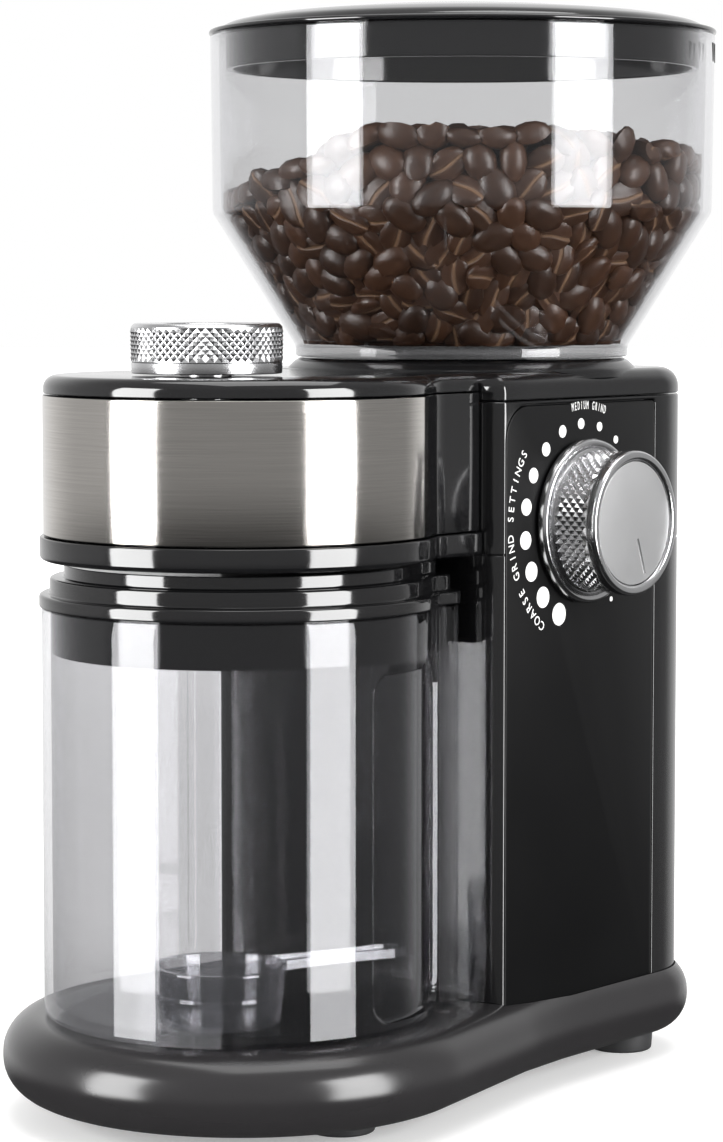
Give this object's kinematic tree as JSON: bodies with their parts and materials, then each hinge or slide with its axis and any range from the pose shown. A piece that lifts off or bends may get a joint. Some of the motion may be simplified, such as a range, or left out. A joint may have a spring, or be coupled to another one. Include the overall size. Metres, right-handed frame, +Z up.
{
  "type": "burr coffee grinder",
  "caption": "Upright burr grinder: clear bean hopper over a gloss black tower, round head with a steel band, side grind dial and a clear grounds container.",
  "frame": {"origin": "centre of the bounding box's bottom face, on the plane of symmetry of the housing, level with the underside of the feet", "axes": "+Z up, -Y the front with the grounds container, +X the side with the grind dial"},
  "size_m": [0.132, 0.213, 0.275],
  "materials": {
    "gloss_black": "gloss moulded",
    "satin_black": "satin moulded",
    "charcoal_base": "satin charcoal, fine texture",
    "foot_rubber": "matt rubber",
    "brushed_band": "brushed along the band",
    "turned_aluminium": "turned and knurled",
    "clear_hopper": "clear polished plastic",
    "smoky_container": "smoky clear plastic",
    "clear_scoop": "clear moulded plastic",
    "nylon": "natural moulded",
    "machined_steel": "machined",
    "bronze_bush": "sintered",
    "circuit_board": "solder mask",
    "coffee_bean": "dark roast, faint oil sheen"
  },
  "bodies": {
    "housing": {"base_shell": "charcoal_base", "base_plate": "satin_black", "base_screw_1": "machined_steel", "base_screw_2": "machined_steel", "base_screw_3": "machined_steel", "base_screw_4": "machined_steel", "foot_front_right": "foot_rubber", "foot_front_left": "foot_rubber", "foot_rear_right": "foot_rubber", "foot_rear_left": "foot_rubber", "tower_casing": "gloss_black", "side_panel_right": "satin_black", "side_panel_left": "satin_black", "tower_cap": "gloss_black", "head_lower": "gloss_black", "head_shell": "gloss_black", "head_cover": "gloss_black", "dial_bush": "nylon", "cord_inlet": "foot_rubber", "grinding_chamber": "satin_black", "grounds_chute": "satin_black", "feed_throat": "satin_black", "gear_deck": "nylon", "spindle_bush_upper": "bronze_bush", "spindle_bush_lower": "bronze_bush", "motor_can": "machined_steel", "motor_end_cap": "nylon", "control_board": "circuit_board", "selector_switch": "nylon", "steel_band": "brushed_band"},
    "hopper": {"hopper_body": "clear_hopper"},
    "hopper_lid": {"hopper_lid": "gloss_black"},
    "container": {"container_body": "smoky_container", "container_lid": "gloss_black"},
    "scoop": {"measuring_scoop": "clear_scoop"},
    "selector": {"selector_knob": "turned_aluminium", "start_spring": "machined_steel"},
    "start_button": {"start_button": "satin_black"},
    "grind_dial": {"dial_knob": "turned_aluminium", "dial_face": "turned_aluminium", "dial_shaft": "machined_steel", "dial_pinion": "nylon"},
    "adjuster": {"adjuster_ring": "nylon", "upper_burr": "machined_steel"},
    "spindle": {"spindle_shaft": "machined_steel", "spindle_gear": "nylon", "burr_carrier": "nylon", "lower_burr": "machined_steel", "burr_nut": "machined_steel"},
    "rotor": {"motor_rotor": "machined_steel", "motor_pinion": "bronze_bush"}
  },
  "joints": [
    {"name": "hopper_twist", "type": "hinge", "parent": "housing", "child": "hopper", "pos_m": [0, 0.0405, 0.1844], "axis": [0, 0, 1], "range_deg": [0, 25]},
    {"name": "hopper_lid_lift", "type": "slide", "parent": "hopper", "child": "hopper_lid", "axis": [0, 0, 1], "range_m": [0, 0.04]},
    {"name": "container_slide", "type": "slide", "parent": "housing", "child": "container", "axis": [0, -1, 0], "range_m": [0, 0.11]},
    {"name": "scoop_lift", "type": "slide", "parent": "container", "child": "scoop", "axis": [0, 0, 1], "range_m": [0, 0.06]},
    {"name": "selector_turn", "type": "hinge", "parent": "housing", "child": "selector", "pos_m": [0, -0.0605, 0.182], "axis": [0, 0, 1], "range_deg": [-270, 0]},
    {"name": "start_press", "type": "slide", "parent": "selector", "child": "start_button", "axis": [0, 0, -1], "range_m": [0, 0.0025], "stiffness_N_per_m": 600, "springref_m": -0.001, "deforming": ["start_spring"]},
    {"name": "grind_dial_turn", "type": "hinge", "parent": "housing", "child": "grind_dial", "pos_m": [0.0465, 0.0306, 0.1436], "axis": [1, 0, 0], "range_deg": [0, 317]},
    {"name": "adjuster_turn", "type": "hinge", "parent": "housing", "child": "adjuster", "pos_m": [0, 0.0405, 0.1514], "axis": [0, 0, 1], "range_deg": [-64, 0]},
    {"name": "spindle_spin", "type": "hinge", "parent": "housing", "child": "spindle", "pos_m": [0, 0.0405, 0.104], "axis": [0, 0, 1], "continuous": true},
    {"name": "rotor_spin", "type": "hinge", "parent": "housing", "child": "rotor", "pos_m": [0, 0.0648, 0.104], "axis": [0, 0, 1], "continuous": true}
  ],
  "couplings": [
    {"joint": "adjuster_turn", "follows": "grind_dial_turn", "ratio": -0.2},
    {"joint": "rotor_spin", "follows": "spindle_spin", "ratio": -3}
  ]
}
